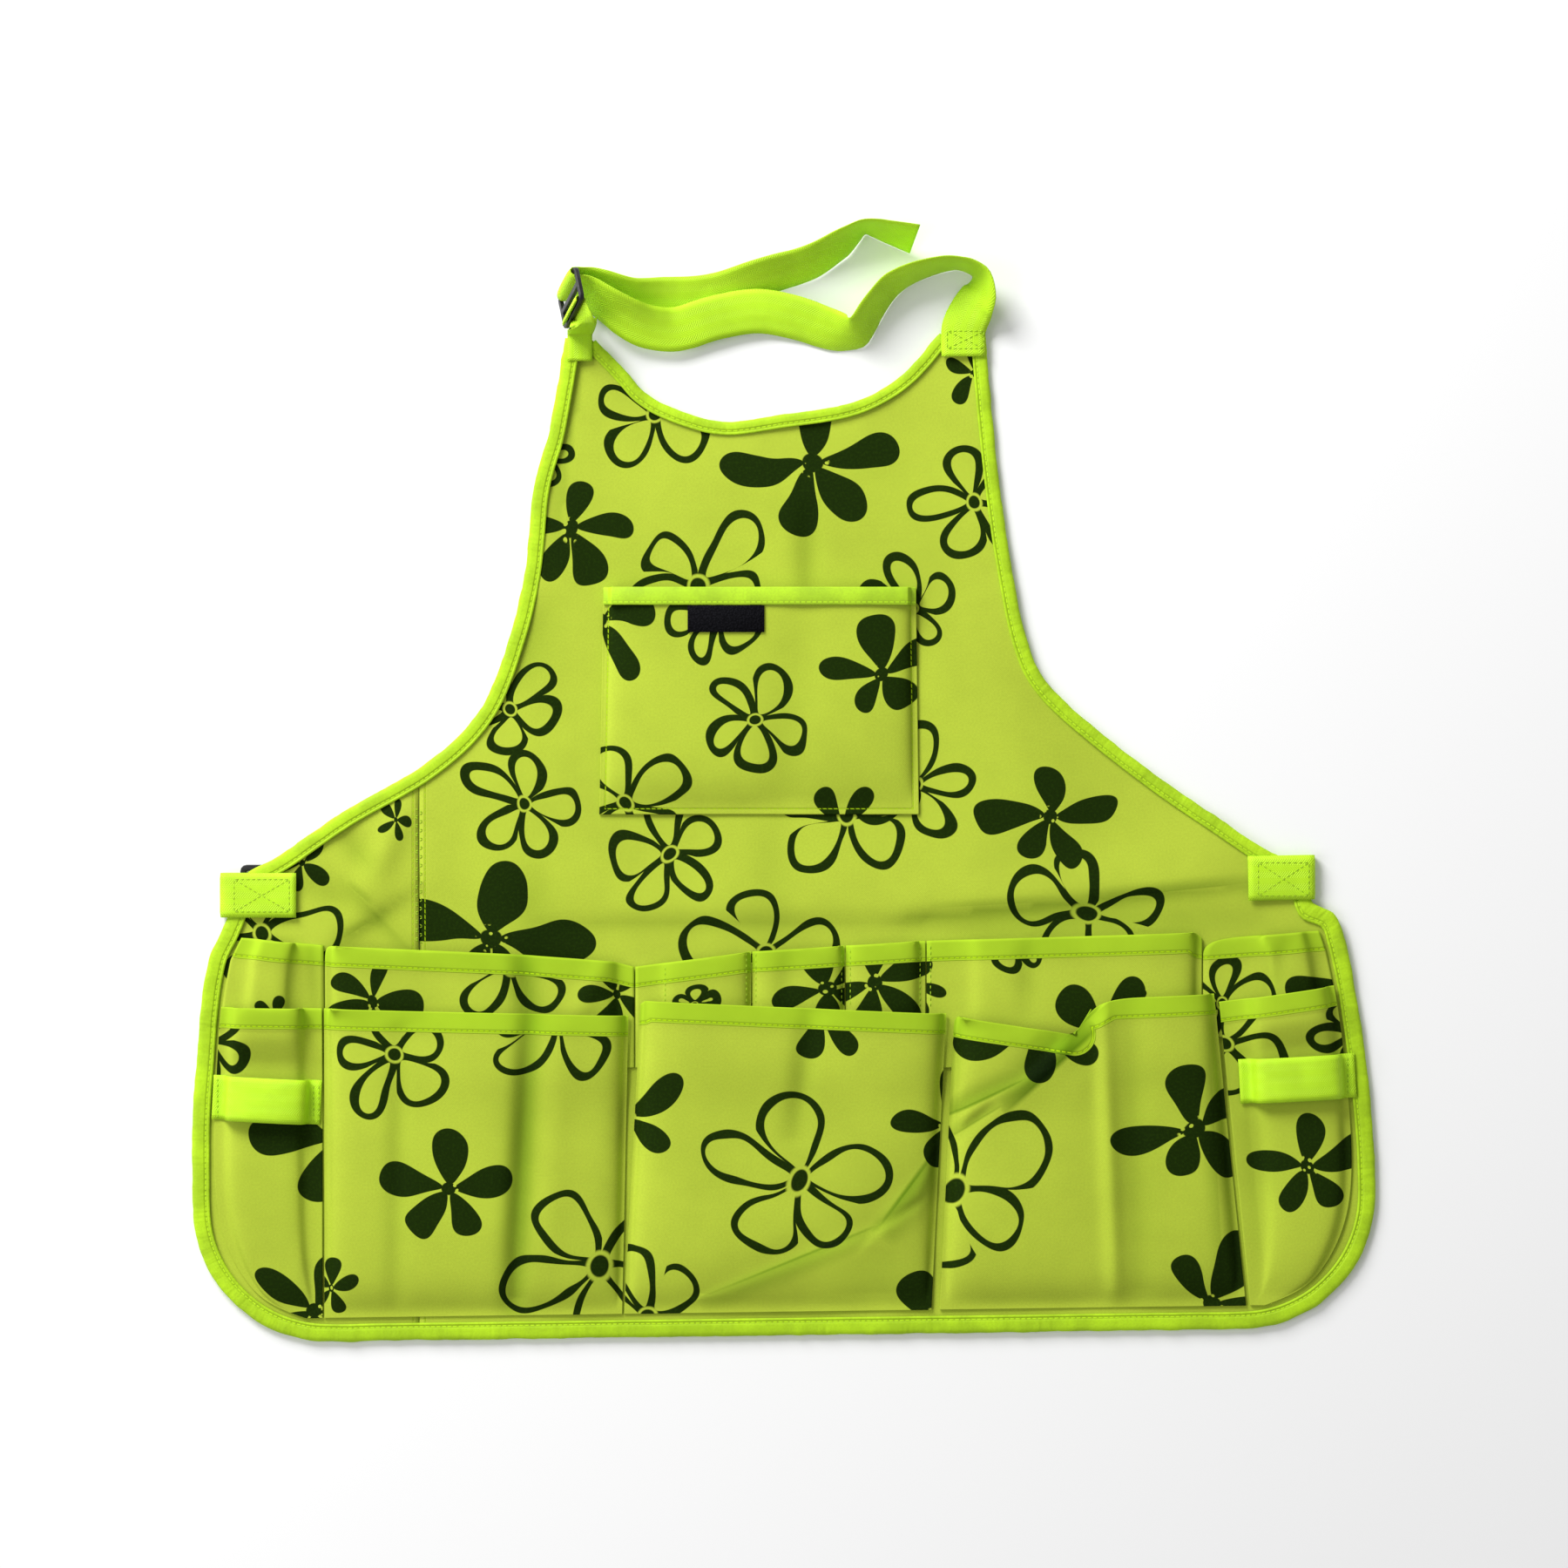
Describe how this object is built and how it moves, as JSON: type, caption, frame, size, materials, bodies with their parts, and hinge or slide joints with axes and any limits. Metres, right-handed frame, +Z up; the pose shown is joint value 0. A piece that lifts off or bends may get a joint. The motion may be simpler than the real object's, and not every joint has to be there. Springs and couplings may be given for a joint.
{
  "type": "gardening apron",
  "caption": "Cloth gardening apron with a bib, tiers of open pockets, tool slots and loops, bound edges, an adjustable neck strap with a slider and a waist belt with a buckle, lying flat",
  "frame": {"origin": "On the floor, under the middle of the apron's length and width as it lies on its back", "axes": "X runs across the apron to the viewer's right, Y runs from the hem to the neck, Z points up from the floor out of the apron's front"},
  "size_m": [0.6652, 0.6294, 0.0368],
  "materials": {
    "cloth": "woven cotton, matte, with a floral print",
    "binding": "folded tape, matte, stitched",
    "webbing": "woven webbing, slight sheen",
    "buckle": "moulded black plastic",
    "hook_patch": "black hook and loop tape"
  },
  "bodies": {
    "root": {"main_panel": "cloth", "left_wing_panel": "cloth", "chest_pocket": "cloth", "upper_side_left": "cloth", "upper_pocket_left": "cloth", "tool_slot_left": "cloth", "tool_slot_middle": "cloth", "tool_slot_right": "cloth", "upper_pocket_right": "cloth", "upper_side_right": "cloth", "lower_side_left": "cloth", "lower_pocket_left": "cloth", "lower_pocket_middle": "cloth", "lower_pocket_right": "cloth", "lower_side_right": "cloth", "left_armhole_binding": "binding", "right_armhole_binding": "binding", "skirt_binding": "binding", "neck_binding": "binding", "chest_pocket_binding": "binding", "tool_loop_left": "webbing", "tool_loop_right": "webbing", "neck_strap": "webbing", "neck_stub": "webbing", "waist_stub": "webbing", "waist_belt": "webbing", "neck_slider": "buckle", "waist_buckle": "buckle", "hook_patch": "hook_patch"}
  },
  "joints": []
}
